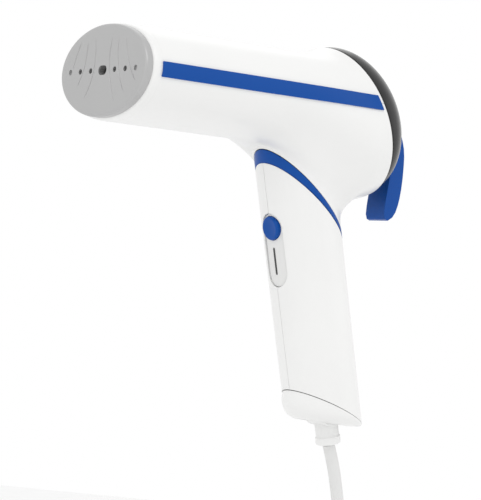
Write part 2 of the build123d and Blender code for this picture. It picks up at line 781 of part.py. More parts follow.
def cord_guard():
    """Pivoting knuckle, neck and collar that the cord leaves through."""
    pivot = Pos(knuckle_back, 0, -knuckle_drop)
    body = pivot * Rot(90, 0, 0) * Cylinder(knuckle_radius, knuckle_width)
    body = fillet(body.edges(), 0.8)
    end = -knuckle_drop - knuckle_radius + 3.0
    body += Pos(knuckle_back, 0, end - guard_neck_length / 2) * Cylinder(guard_neck_radius, guard_neck_length)
    ring = Pos(knuckle_back, 0, end - guard_neck_length - guard_collar_length / 2 + 1.6)
    body += ring * fillet(Cylinder(guard_collar_radius, guard_collar_length).edges(), 0.8)
    body -= pivot * Rot(90, 0, 0) * Cylinder(guard_pin_radius + running_gap, 60)
    return handle_frame * body


def cord_clamp():
    clamp = Pos(0, 0, -clamp_drop) * Box(*clamp_size)
    clamp -= Pos(0, 0, -clamp_drop) * Cylinder(cord_radius + 0.05, 20)
    for side in (-1, 1):
        clamp -= Pos(0, side * 7.6, -clamp_drop) * Rot(0, 90, 0) * Cylinder(screw_radius, 40)
    return handle_frame * clamp


def inner_cord():
    """Jacketed end of the cord inside the handle, from the knuckle to the clamp."""
    length = knuckle_drop - knuckle_radius - knuckle_gap - 0.4 - (clamp_drop - 6)
    middle = -(clamp_drop - 6) - length / 2
    return handle_frame * Pos(0, 0, middle) * Cylinder(cord_radius, length)


def handle_harness():
    """Wires from the clamp past the board to the fold joint."""
    points = [(0, 0, -clamp_drop + 8), (1, 0, -66), (4.5, 0, -48), (4.5, 0, -28), (1.5, 0, -14)]
    return handle_frame * swept(tube_path(points, [20, 20, 20]), 1.9)


def head_harness():
    """Wires from the fold joint to the boiler."""
    end = boiler_back + boiler_cover + terminal_length + 0.6
    points = [(6.4, 0, 9.0), (2, 8, 20), (-14, 16, 37), (-34, 20, 42), (-62, 20, 45), (end, 17, 49)]
    return head_frame * swept(tube_path(points, [6, 9, 20, 20]), 1.9)


def shell_screw_places():
    """Middle of each screw that pulls the head's halves together."""
    return [(x, side * (barrel_width / 2 - 14), axis_height(x)) for x in (-78, -22) for side in (-1, 1)]


def shell_screws():
    group = []
    for x, y, z in shell_screw_places():
        shank = Pos(x, y, z) * Cylinder(screw_radius, 2 * screw_length)
        head = Pos(x, y, z - screw_length - 1.0) * Cylinder(screw_head_radius, 2)
        group.append(head_frame * (shank + head))
    return Compound(children=group)


def shell_screw_room():
    """Threads and head pockets of the head's screws."""
    room = None
    for x, y, z in shell_screw_places():
        tool = Pos(x, y, z) * Cylinder(screw_radius, 2 * screw_length + 0.6)
        tool += Pos(x, y, z - screw_length - 25) * Cylinder(screw_head_radius + 0.3, 50)
        room = tool if room is None else room + tool
    return head_frame * room


def shell_bosses(side):
    """Screw pillars inside one half of the head's shell, above or below the split."""
    pillars = None
    for x, y, z in shell_screw_places():
        pillar = Pos(x, y, z + side * 20.2) * Cylinder(boss_radius, 40)
        pillars = pillar if pillars is None else pillars + pillar
    return (head_frame * pillars) & head_form(head_wall - 0.3)


def cord_tube():
    corners = [(x, 0, z) for x, z in cord_points]
    radii = corner_radii(corners)
    print("cord radii", [round(r, 1) for r in radii])
    path = tube_path(corners, radii)
    print("cord tube length", round(path.length, 1))
    return swept(path, cord_radius)


def corner_radii(corners):
    radii = []
    for a, b, c in zip(corners, corners[1:], corners[2:]):
        first = Vector(*b) - Vector(*a)
        second = Vector(*c) - Vector(*b)
        turn = math.radians(first.get_angle(second))
        radii.append(0.45 * min(first.length, second.length) / math.tan(turn / 2))
    return radii


def cord_hank():
    """Outer shape of the folded, tied length of cord."""
    face = SlotOverall(hank_straight + 2 * hank_half_width, 2 * hank_half_width)
    block = Rot(90, 0, 0) * Rot(0, 0, 90) * extrude(face, hank_half_thickness, both=True)
    return Pos(hank_x, 0, hank_centre) * block - tie_room()


def tie_room():
    return Pos(hank_x, 0, hank_centre) * Box(2 * hank_half_width + 1, 2 * hank_half_thickness + 1, tie_width) & (
        Pos(hank_x, 0, hank_centre) * (Box(300, 300, tie_width)
                                       - Box(2 * hank_half_width - 0.4, 2 * hank_half_thickness - 0.4, 300)))


def cord_tie():
    """Strap round the middle of the hank."""
    inner = Box(2 * hank_half_width - 0.4, 2 * hank_half_thickness - 0.4, tie_width + 1)
    outer = Box(2 * (hank_half_width + tie_thickness), 2 * (hank_half_thickness + tie_thickness), tie_width)
    outer = fillet(outer.edges().filter_by(Axis.Z), 2)
    return Pos(hank_x, 0, hank_centre) * (outer - inner)


def tail_x():
    return hank_x + hank_turn_radius


def tail_top():
    return hank_centre - hank_straight / 2 - hank_turn_radius * 0.55


def cord_tail():
    """Short end of the cord, from the hank to the plug."""
    x = tail_x()
    top = tail_top()
    hank = Pos(hank_x, 0, hank_centre) * Rot(90, 0, 0) * Rot(0, 0, 90) * extrude(
        SlotOverall(hank_straight + 2 * hank_half_width, 2 * hank_half_width), 60, both=True)
    return Pos(x, 0, top - tail_length / 2) * Cylinder(cord_radius, tail_length) - hank


def plug_top():
    return tail_top() - tail_length


def plug_body():
    x = tail_x()
    relief = Pos(x, 0, plug_top() - plug_neck_length / 2) * Rot(180, 0, 0) * Cone(
        cord_radius + 1.0, cord_radius + 3.4, plug_neck_length)
    block = Box(plug_size[0], plug_size[1], plug_size[2])
    block = fillet(block.edges().filter_by(Axis.Z), 5)
    block = fillet(block.faces().sort_by(Axis.Z)[-1].edges(), 4)
    return relief + Pos(x, 0, plug_top() - plug_neck_length - plug_size[2] / 2 + 2) * block


def plug_pins():
    z = plug_top() - plug_neck_length - plug_size[2] + 2 - blade_size[2] / 2
    pins = []
    for side in (-1, 1):
        blade = Pos(tail_x(), side * blade_spacing / 2, z) * Box(blade_size[1], blade_size[0], blade_size[2])
        pins.append(chamfer(blade.faces().sort_by(Axis.Z)[0].edges(), 0.5))
    return Compound(children=pins)


pieces = {
    "upper_shell": lambda: shell_half(1),
    "lower_shell": lambda: shell_half(-1) + pump_cradle(),
    "front_collar": collar,
    "stripe_left": lambda: stripe(1),
    "stripe_right": lambda: stripe(-1),
    "shell_screws": shell_screws,
    "steam_plate": steam_plate,
    "plate_gasket": gasket,
    "boiler_block": boiler_block,
    "boiler_lid": boiler_lid,
    "heating_element": heating_element,
    "thermostat": thermostat,
    "thermal_fuse": thermal_fuse,
    "pump_body": pump_body,
    "pump_plunger": pump_plunger,
    "pump_spring": pump_spring,
    "boiler_hose": boiler_hose,
    "tank_hose": tank_hose,
    "head_harness": head_harness,
    "tank_dock": tank_dock,
    "dock_seal": dock_seal,
    "dock_pin": dock_pin,
    "water_tank": water_tank,
    "tank_front": tank_front,
    "tank_valve": tank_valve,
    "filler_cap": filler_cap,
    "filler_plug": filler_plug,
    "cap_pin": cap_pin,
    "swivel_ring": swivel_ring,
    "swivel_hub": swivel_hub,
    "swivel_spigot": swivel_spigot,
    "retaining_ring": retaining_ring,
    "friction_washer": friction_washer,
    "handle_left": lambda: handle_half(1),
    "handle_right": lambda: handle_half(-1),
    "handle_screws": handle_screws,
    "front_panel": front_panel,
    "led_lens": led_lens,
    "steam_button": steam_button,
    "switch_actuator": switch_actuator,
    "micro_switch": micro_switch,
    "control_board": control_board,
    "board_parts": board_parts,
    "handle_harness": handle_harness,
    "cord_clamp": cord_clamp,
    "inner_cord": inner_cord,
    "foot_cap": foot_cap,
    "guard_pin": guard_pin,
    "cord_guard": cord_guard,
    "cord_tube": cord_tube,
    "cord_hank": cord_hank,
    "cord_tie": cord_tie,
    "cord_tail": cord_tail,
    "plug_body": plug_body,
    "plug_pins": plug_pins,
}

os.makedirs("parts", exist_ok=True)
for name, make in pieces.items():
    solid = make()
    export_step(solid, "parts/" + name + ".step")
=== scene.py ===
import json
import math

import bmesh
import bpy
from mathutils import Matrix, Vector


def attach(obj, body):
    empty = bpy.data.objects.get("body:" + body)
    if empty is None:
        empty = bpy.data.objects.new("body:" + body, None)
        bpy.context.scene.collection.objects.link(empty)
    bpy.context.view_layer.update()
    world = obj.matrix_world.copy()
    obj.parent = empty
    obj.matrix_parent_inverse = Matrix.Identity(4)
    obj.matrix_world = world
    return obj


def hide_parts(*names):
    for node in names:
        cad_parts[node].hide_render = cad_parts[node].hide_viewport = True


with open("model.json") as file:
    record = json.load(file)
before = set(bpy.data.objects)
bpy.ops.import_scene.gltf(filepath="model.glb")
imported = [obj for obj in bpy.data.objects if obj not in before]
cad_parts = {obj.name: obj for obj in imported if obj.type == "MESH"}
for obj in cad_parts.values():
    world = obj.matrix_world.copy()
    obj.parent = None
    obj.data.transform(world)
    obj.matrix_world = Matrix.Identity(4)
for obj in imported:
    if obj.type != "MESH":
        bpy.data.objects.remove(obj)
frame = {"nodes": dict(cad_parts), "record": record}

bl_info = {
    "name": "Garment steamer",
    "version": (1, 0, 0),
    "blender": (4, 5, 0),
    "location": "3D View > Sidebar > Steamer",
    "description": "Builds a folding hand-held garment steamer over its packed CAD frame",
    "category": "Object",
}

SIDES = 96                  # points round a turned or oval piece
ROUND = 1 / 0.9746          # a 16-point cage ring settles this much inside its own points
ACROSS = Matrix(((0, 0, 1, 0), (1, 0, 0, 0), (0, 1, 0, 0), (0, 0, 0, 1)))   # lays a flat outline across X

# Upper edge, lower edge and half width of the head where the barrel turns into the bulb, in mm from
# the fold joint: (x, z), (x, z), y.
SHOULDER = [((-42.0, 80.1), (-43.0, 29.6), 41.4), ((-29.0, 80.6), (-26.0, 28.0), 41.7),
            ((-18.0, 80.9), (-8.0, 22.0), 42.0), ((-9.8, 81.9), (10.0, 14.0), 42.4),
            ((-4.0, 83.8), (27.5, 5.9), 42.7)]
# Side outline of the lever, along and across the tank's axis, in mm.
LEVER = [(26.2, -11.0), (25.1, -13.0), (24.0, -17.0), (22.8, -21.0), (21.4, -25.0), (24.0, -29.5),
         (20.9, -36.1), (17.4, -42.2), (14.3, -47.2), (11.8, -51.6), (9.8, -55.8), (9.7, -58.6),
         (11.2, -60.0), (14.9, -59.4), (18.0, -57.4), (20.6, -54.6), (23.3, -50.9), (26.0, -46.4),
         (28.8, -41.0), (31.5, -35.0), (33.4, -30.3), (34.6, -25.8), (35.0, -21.6), (35.0, -17.5),
         (34.7, -12.0), (34.0, -7.0), (32.4, -4.5), (29.6, -3.5), (26.9, -4.4), (25.3, -7.4)]
# Grooves of the steam plate, across it and above its row of vents, in mm.
GROOVES = [[(22.1, 15.1), (25.4, 8.0), (27.7, 1.4)],
           [(15.6, 14.7), (16.0, 8.0), (17.4, 0.6), (22.1, -8.3)],
           [(9.2, 16.7), (7.7, 9.2), (8.0, -0.2), (10.6, -8.0), (14.5, -14.1)],
           [(-6.2, 16.7), (-5.3, 7.0), (-6.4, -0.8), (-8.6, -6.7), (-13.2, -16.6)],
           [(-12.1, 16.3), (-12.9, 6.6), (-15.8, -3.2), (-21.3, -12.2)],
           [(-18.7, 15.6), (-20.6, 8.9), (-24.9, 0.7), (-30.8, -7.0)]]
# The cord's free stretch, in mm from the middle of the grip: (x, y, z).
CORD_DROP = [(20.8, 0.0, -67.3), (24.3, 0.0, -75.6), (27.4, 0.0, -84.0), (33.0, 0.6, -102.0),
             (37.2, 2.8, -121.0), (39.9, 5.6, -142.0), (40.7, 7.2, -156.0)]
# Turn radius and side shift of each strand of the tied hank, in the order the cord runs, in mm.
HANK_LAPS = [(24.8, 7.2), (21.2, 0.0), (21.2, -7.2), (28.4, -7.2), (28.4, 0.0)]
# Edge of the neck's opening in the head's cage: (row after the barrel, place round it).
BORDER = ((4, 12), (4, 13), (4, 14), (3, 14), (2, 14), (1, 14), (0, 14), (0, 13),
          (0, 12), (0, 11), (0, 10), (1, 10), (2, 10), (3, 10), (4, 10), (4, 11))
POINT_WEIGHT = 0.01         # the cord's bounds grow by this much in metres, and its bevel is scaled by it
CAMERA_TURN = (-37.01, -2.96, 5.97)     # azimuth, elevation and roll, in degrees
CAMERA_SHIFT = (31.59, 24.02)           # the fold joint lies this far right of and above the aim, in mm
CAMERA_AWAY = 1190.0        # mm from the aim
FLOOR_DROP = 366.0          # mm under the grip
FLOOR_RADIUS = 4000.0
PATCH = 45.0                # mm between the broad drifts of colour


def mm(name, description, value, least=0.1, most=400.0):
    """A length setting, in millimetres."""
    return bpy.props.FloatProperty(name=name, description=description, default=value, min=least, max=most)


def degrees(name, description, value):
    """An angle setting, given in degrees."""
    return bpy.props.FloatProperty(name=name, description=description, default=math.radians(value),
                                   subtype="ANGLE", unit="ROTATION")


def tint(name, description, code):
    """A colour setting, given as an sRGB hex code."""
    return bpy.props.FloatVectorProperty(name=name, description=description, default=linear(code)[:3],
                                         size=3, min=0.0, max=1.0, subtype="COLOR")


def linear(code):
    """Scene-linear colour of an sRGB hex code."""
    parts = [int(code[i:i + 2], 16) / 255 for i in (1, 3, 5)]
    return tuple(p / 12.92 if p <= 0.04045 else ((p + 0.055) / 1.055) ** 2.4 for p in parts) + (1.0,)


class SteamerSizes(bpy.types.PropertyGroup):
    """Sizes of the steamer, in millimetres."""
    handle_tilt: degrees("Handle tilt", "How far the handle's foot leans back", 15.8)
    grip_to_fold: mm("Grip to fold", "Middle of the grip to the fold joint, along the handle", 62.0)
    handle_depth: mm("Handle depth", "Front to back", 42.4)
    handle_width: mm("Handle width", "Side to side", 42.8)
    handle_taper: mm("Handle taper", "How much the radius shrinks towards the foot", 0.5)
    handle_length: mm("Handle length", "Fold joint to the oblique foot", 111.6)
    foot_angle: degrees("Foot angle", "Lean of the foot's cut", 34.6)
    fold_lean: degrees("Fold lean", "Rise of the fold axis to the rear", 54.7)
    ring_front: mm("Ring front", "Height of the fold ring at its front", 4.4)
    ring_rear: mm("Ring rear", "Height of the fold ring at its rear", 1.6)
    ring_wall: mm("Ring wall", "Wall of the fold ring", 3.0)
    shell_wall: mm("Shell wall", "Wall of the moulded shells", 2.2)
    plate_reach: mm("Plate reach", "Fold joint to the steam plate's face", 134.8)
    barrel_height: mm("Barrel height", "Fold joint to the barrel's axis at the plate", 51.7)
    barrel_rise: degrees("Barrel rise", "Climb of the barrel's axis to the rear", 2.0)
    barrel_width: mm("Barrel width", "Side to side at the plate", 80.0)
    barrel_spread: mm("Barrel spread", "Growth of the width towards the bulb", 4.0)
    barrel_depth: mm("Barrel depth", "Top to bottom", 50.4)
    plate_inset: mm("Plate inset", "The plate is this much smaller than the collar", 1.3)
    plate_thickness: mm("Plate thickness", "Of the steam plate", 4.0)
    collar_length: mm("Collar length", "Of the ring behind the steam plate", 5.0)
    vent_radius: mm("Vent radius", "Of the small steam holes", 1.35)
    stripe_height: mm("Stripe height", "Of the side stripes", 7.4)
    rim_reach: mm("Rim reach", "Fold joint to the middle of the tank's rim", 21.4)
    rim_height: mm("Rim height", "Fold joint up to the middle of the rim", 48.3)
    bulb_lean: degrees("Bulb lean", "Rise of the tank's axis to the rear", 25.2)
    bulb_radius: mm("Bulb radius", "Of the tank's rim", 42.6)
    dome_depth: mm("Dome depth", "Rim to the apex of the tank", 24.5)
    lever_width: mm("Lever width", "Of the filler cap's lever", 15.6)
    button_radius: mm("Button radius", "Of the steam button", 6.5)
    button_drop: mm("Button drop", "Fold joint to the button, along the handle", 9.2)
    panel_width: mm("Panel width", "Of the inset on the handle's front", 16.0)
    panel_length: mm("Panel length", "Of the inset on the handle's front", 40.0)
    panel_recess: mm("Panel recess", "Depth of the inset under the handle's skin", 0.9)
    lens_drop: mm("Lens drop", "Fold joint to the middle of the lamp's lens", 27.2)
    lens_length: mm("Lens length", "Of the lamp's lens", 15.0)
    lens_width: mm("Lens width", "Of the lamp's lens", 1.7)
    knuckle_drop: mm("Knuckle drop", "Fold joint to the cord knuckle's pin", 111.7)
    knuckle_back: mm("Knuckle back", "The pin lies this far behind the handle's axis", 1.6)
    knuckle_radius: mm("Knuckle radius", "Of the cord's knuckle", 10.0)
    knuckle_width: mm("Knuckle width", "Of the cord's knuckle", 16.5)
    cord_radius: mm("Cord radius", "Of the mains cord", 3.4)
    cord_length: mm("Cord length", "From the knuckle to the plug", 1460.0, 10.0, 5000.0)
    hank_straight: mm("Hank straight", "Straight length of the tied hank", 78.0)
    hank_x: mm("Hank place", "Middle of the hank behind the grip", 16.0)
    hank_top: mm("Hank top", "Top of the straights below the grip", 162.0)


class SteamerColours(bpy.types.PropertyGroup):
    """Colours of the steamer's stuffs."""
    shell: tint("Shell", "Moulded white body", "#E9E9E8")
    panel: tint("Panel", "Inset round the button", "#DEDEDD")
    blue: tint("Blue", "Ring, button, lever and stripes", "#00489A")
    plate: tint("Plate", "Steam plate", "#B4B4B4")
    smoke: tint("Smoke", "Water tank", "#262626")
    lens: tint("Lens", "Lamp's lens", "#1C1C1C")
    cord: tint("Cord", "Mains cord and plug", "#DCDCDB")
    floor: tint("Floor", "Painted floor", "#FAFAFA")


def sizes():
    return bpy.context.scene.steamer_sizes


def colours():
    return bpy.context.scene.steamer_colours


# ---- places ---------------------------------------------------------------------------------------
def shift(place, x=0.0, y=0.0, z=0.0):
    """A frame moved along its own axes."""
    return place @ Matrix.Translation((x, y, z))


def fold_place():
    """Frame of the fold joint, square to the row frame: X to the rear, Z up."""
    s = sizes()
    up = s.grip_to_fold
    return Matrix.Translation((-math.sin(s.handle_tilt) * up, 0, math.cos(s.handle_tilt) * up))


def handle_place():
    """Frame of the handle: Z up along its axis, X out of its back, origin on the fold joint."""
    return fold_place() @ Matrix.Rotation(-sizes().handle_tilt, 4, "Y")


def swivel_place():
    """Frame of the fold joint: Z along the fold axis, X down to the rear."""
    return fold_place() @ Matrix.Rotation(math.pi / 2 - sizes().fold_lean, 4, "Y")


def tank_place():
    """Frame of the tank: X along its axis, origin in the middle of the rim."""
    s = sizes()
    return shift(fold_place(), s.rim_reach, 0, s.rim_height) @ Matrix.Rotation(-s.bulb_lean, 4, "Y")


def barrel_place(x):
    """Plane across the barrel at a station, its X sideways and its Y up."""
    s = sizes()
    z = s.barrel_height + (x + s.plate_reach) * math.tan(s.barrel_rise)
    return shift(fold_place(), x, 0, z) @ ACROSS


def barrel_axis():
    """Frame of the head's parting plane: X along the barrel, Z up, origin at the steam plate."""
    s = sizes()
    return shift(fold_place(), -s.plate_reach, 0, s.barrel_height) @ Matrix.Rotation(-s.barrel_rise, 4, "Y")


def front_place(drop):
    """Frame on the handle's axis whose Z points out of the handle's front."""
    return shift(handle_place(), 0, 0, -drop) @ Matrix.Rotation(-math.pi / 2, 4, "Y")


def barrel_half(x, inset=0.0):
    """Half width and half depth of the barrel at a station."""
    s = sizes()
    return ((s.barrel_width + s.barrel_spread * (x + s.plate_reach) / s.plate_reach) / 2 - inset,
            s.barrel_depth / 2 - inset)


def skew():
    """Run of the handle's axis along the fold plane for each mm above it, and the ring's half length."""
    s = sizes()
    turn = s.fold_lean - s.handle_tilt - math.pi / 2
    return math.tan(turn), s.handle_depth / 2 / abs(math.cos(turn))


# ---- mesh helpers -----------------------------------------------------------------------------------
def oval(place, half_x, half_y):
    """Points of an ellipse in a frame's XY plane."""
    turns = [2 * math.pi * i / SIDES for i in range(SIDES)]
    return [place @ Vector((half_x * math.cos(t), half_y * math.sin(t), 0)) for t in turns]


def strip(bm, a, b):
    """Faces between two closed rings of vertices."""
    count = len(a)
    for i in range(count):
        j = (i + 1) % count
        bm.faces.new((a[i], a[j], b[j], b[i]))


def skin(bm, rings, first=False, last=False):
    """Joins closed rings of points in order; the end rings can be filled."""
    rows = [[bm.verts.new(p) for p in ring] for ring in rings]
    for a, b in zip(rows, rows[1:]):
        strip(bm, a, b)
    if first:
        bm.faces.new(rows[0])
    if last:
        bm.faces.new(rows[-1])


def lathe(bm, place, profile):
    """Turns a profile of (height, radius) about a frame's Z axis, its ends filled."""
    skin(bm, [oval(shift(place, z=h), r, r) for h, r in profile], True, True)


def block(bm, place, size):
    """A box in a frame."""
    bmesh.ops.create_cube(bm, size=1.0, matrix=place @ Matrix.Diagonal((*size, 1)))


def capsule(length, width, count=16):
    """Outline of a capsule that stands along Y."""
    half, r = (length - width) / 2, width / 2
    turns = [math.pi * i / count for i in range(count + 1)]
    top = [(r * math.cos(t), half + r * math.sin(t)) for t in turns]
    return top + [(-x, -y) for x, y in top]


def rounded(place, half_x, half_y, corner, steps):
    """Points of a rectangle with round corners, in a frame's XY plane."""
    ring = []
    for x, y, first in ((1, 1, 0), (-1, 1, 90), (-1, -1, 180), (1, -1, 270)):
        for i in range(steps + 1):
            t = math.radians(first + i * 90 / steps)
            ring.append(place @ Vector((x * (half_x - corner) + corner * math.cos(t),
                                        y * (half_y - corner) + corner * math.sin(t), 0)))
    return ring


def finish_mesh(name, bm, crease=35.0):
    """Makes an object from mm geometry, at the origin, with even normals and smooth shading."""
    bmesh.ops.remove_doubles(bm, verts=bm.verts, dist=0.001)
    bmesh.ops.recalc_face_normals(bm, faces=bm.faces)
    bmesh.ops.scale(bm, verts=bm.verts, vec=(0.001, 0.001, 0.001))
    mesh = bpy.data.meshes.new(name)
    bm.to_mesh(mesh)
    bm.free()
    piece = bpy.data.objects.new(name, mesh)
    bpy.context.scene.collection.objects.link(piece)
    smooth(piece, crease)
    return piece


def smooth(piece, crease=35.0):
    """Shades an object smooth, but for edges sharper than the crease angle."""
    piece.data.shade_smooth()
    piece.data.set_sharp_from_angle(angle=math.radians(crease))


def bake(piece, crease=35.0):
    """Puts an object's modifiers into its mesh."""
    bpy.context.view_layer.update()
    graph = bpy.context.evaluated_depsgraph_get()
    old, mesh = piece.data, bpy.data.meshes.new_from_object(piece.evaluated_get(graph))
    piece.modifiers.clear()
    piece.data = mesh
    bpy.data.meshes.remove(old)
    smooth(piece, crease)


def carve(piece, tool):
    """Cuts one object out of another."""
    cutter = piece.modifiers.new("carve", "BOOLEAN")
    cutter.operation, cutter.solver, cutter.object = "DIFFERENCE", "EXACT", tool
    bake(piece)
    bpy.data.objects.remove(tool)


def thicken(piece, wall):
    """Gives an open skin its wall, inwards."""
    layer = piece.modifiers.new("wall", "SOLIDIFY")
    layer.thickness, layer.offset, layer.use_even_offset = wall / 1000, -1, True
    bake(piece)


def soften(piece, width, segments=3):
    """Rounds an object's sharp edges."""
    edge = piece.modifiers.new("edge", "BEVEL")
    edge.width, edge.segments, edge.harden_normals = width / 1000, segments, True
    edge.limit_method, edge.angle_limit = "ANGLE", math.radians(40)


def place_piece(piece, body, nodes, stuff):
    """Joins a finished piece to its body, hides the CAD nodes it replaces and gives it its material."""
    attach(piece, body)
    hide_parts(*nodes)
    piece.data.materials.clear()
    piece.data.materials.append(bpy.data.materials[stuff])


def keep_side(bm, place, point, normal):
    """Cuts a mesh by a plane and keeps what lies on the normal's side."""
    turn = place.to_3x3()
    bmesh.ops.bisect_plane(bm, geom=bm.verts[:] + bm.edges[:] + bm.faces[:], dist=0.0001,
                           plane_co=place @ Vector(point), plane_no=turn @ Vector(normal), clear_inner=True)


# ---- materials --------------------------------------------------------------------------------------
def add(tree, kind, settings=None, links=None):
    """Adds one node, with its settings and the sockets that feed it."""
    made = tree.nodes.new(kind)
    for key, value in (settings or {}).items():
        if hasattr(made, key):
            setattr(made, key, value)
        else:
            made.inputs[key].default_value = value
    for socket, source in (links or {}).items():
        tree.links.new(source, made.inputs[socket])
    return made


def stuff(name, colour, rough, grain=0.8, depth=0.02, metallic=0.0, coat=0.0, clear=0.0, gleam=0.5,
          stretch=(1, 1, 1), weave=0.0):
    """A real material: its colour drifts a little, and its skin has a grain of the given size in mm."""
    material = bpy.data.materials.new(name)
    material.use_nodes = True
    tree = material.node_tree
    tree.nodes.clear()
    where = add(tree, "ShaderNodeTexCoord").outputs["Object"]
    laid = add(tree, "ShaderNodeMapping", {"Scale": stretch}, {"Vector": where}).outputs["Vector"]
    noise = "ShaderNodeTexNoise"
    fine = add(tree, noise, {"Scale": 1000 / grain, "Detail": 3.0}, {"Vector": laid}).outputs["Fac"]
    broad = add(tree, noise, {"Scale": 1000 / PATCH, "Detail": 2.0}, {"Vector": where}).outputs["Fac"]
    shade = tuple(c * 0.955 for c in colour[:3]) + (1.0,)
    mixed = add(tree, "ShaderNodeMix", {"data_type": "RGBA"}, {0: broad})
    mixed.inputs[6].default_value, mixed.inputs[7].default_value = shade, tuple(colour[:3]) + (1.0,)
    gloss = add(tree, "ShaderNodeMapRange", {"To Min": rough * 0.88, "To Max": min(1.0, rough * 1.12)},
                {"Value": fine})
    height = fine
    if weave:
        threads = add(tree, "ShaderNodeTexWave", {"Scale": 1000 / weave / 3.0, "Distortion": 0.6,
                                                  "bands_direction": "Z"}, {"Vector": where}).outputs["Fac"]
        height = add(tree, "ShaderNodeMath", {"operation": "ADD"}, {0: fine, 1: threads}).outputs["Value"]
    bump = add(tree, "ShaderNodeBump", {"Strength": 0.35, "Distance": depth / 1000}, {"Height": height})
    shader = add(tree, "ShaderNodeBsdfPrincipled",
                 {"Metallic": metallic, "Coat Weight": coat, "Coat Roughness": 0.12,
                  "Transmission Weight": clear, "Specular IOR Level": gleam},
                 {"Base Color": mixed.outputs[2], "Roughness": gloss.outputs["Result"],
                  "Normal": bump.outputs["Normal"]})
    add(tree, "ShaderNodeOutputMaterial", None, {"Surface": shader.outputs["BSDF"]})
    return material


def make_materials():
    """Every material of the steamer, by the name of its real stuff."""
    c = colours()
    stuff("moulded white ABS", c.shell, 0.34, 0.7, 0.012, coat=0.12)          # satin injection moulding
    stuff("pale ABS panel", c.panel, 0.45, 0.6, 0.02)                         # finely spark-eroded face
    stuff("moulded blue ABS", c.blue, 0.36, 0.7, 0.012, gleam=0.2)            # coloured through, satin
    stuff("coated aluminium plate", c.plate, 0.38, 0.25, 0.01, metallic=0.55)  # matt grey sliding coat
    stuff("smoked polycarbonate", c.smoke, 0.2, 1.5, 0.006, clear=0.15, gleam=0.3)   # tinted, slightly clear
    stuff("smoked lens", c.lens, 0.22, 1.0, 0.005, coat=0.2)                  # over the indicator lamp
    stuff("white PVC sheath", c.cord, 0.5, 0.5, 0.02)                         # extruded cord and plug
    stuff("nickelled brass", linear("#C9C3B2"), 0.24, 0.2, 0.004, metallic=1.0, stretch=(1, 1, 0.1))
    stuff("black hook-and-loop", linear("#202020"), 0.9, 0.35, 0.2, weave=0.9)   # woven strap, 0.9 mm ribs
    stuff("zinc-plated steel", linear("#B9BABC"), 0.3, 0.3, 0.006, metallic=1.0)
    stuff("heater steel", linear("#9C9892"), 0.42, 0.3, 0.01, metallic=1.0)    # sheath, bare and heat-tinted
    stuff("cast aluminium", linear("#A9AAAC"), 0.55, 0.9, 0.08, metallic=1.0)  # as-cast skin
    stuff("pale silicone", linear("#D9D8D3"), 0.6, 0.6, 0.02)
    stuff("white ceramic", linear("#EAE6DC"), 0.3, 0.8, 0.02)
    stuff("black nylon", linear("#1E1E1F"), 0.48, 0.6, 0.02)
    stuff("glass-fibre sleeve", linear("#B7B5AE"), 0.85, 0.3, 0.1, weave=0.8)  # braided, 0.8 mm pitch
    stuff("black seal rubber", linear("#151515"), 0.62, 0.5, 0.02)
    stuff("glass-epoxy board", linear("#1D5A34"), 0.4, 0.4, 0.01, coat=0.2)


STUFF_OF_SLOT = {
    "white_shell": "moulded white ABS", "panel_white": "pale ABS panel", "blue_trim": "moulded blue ABS",
    "screw_steel": "zinc-plated steel", "plate_metal": "coated aluminium plate", "silicone": "pale silicone",
    "cast_aluminium": "cast aluminium", "element_steel": "heater steel", "white_ceramic": "white ceramic",
    "black_plastic": "black nylon", "wire_sleeve": "glass-fibre sleeve", "seal_rubber": "black seal rubber",
    "smoke_tank": "smoked polycarbonate", "lens_dark": "smoked lens", "board_green": "glass-epoxy board",
    "cord_white": "white PVC sheath", "tie_black": "black hook-and-loop", "plug_white": "white PVC sheath",
    "pin_brass": "nickelled brass",
}


def dress_frame():
    """Gives every CAD node the material of its slot."""
    for part in frame["record"]["subparts"]:
        thing = frame["nodes"][part["node"]]
        thing.data.materials.clear()
        thing.data.materials.append(bpy.data.materials[STUFF_OF_SLOT[part["material_slot"]]])


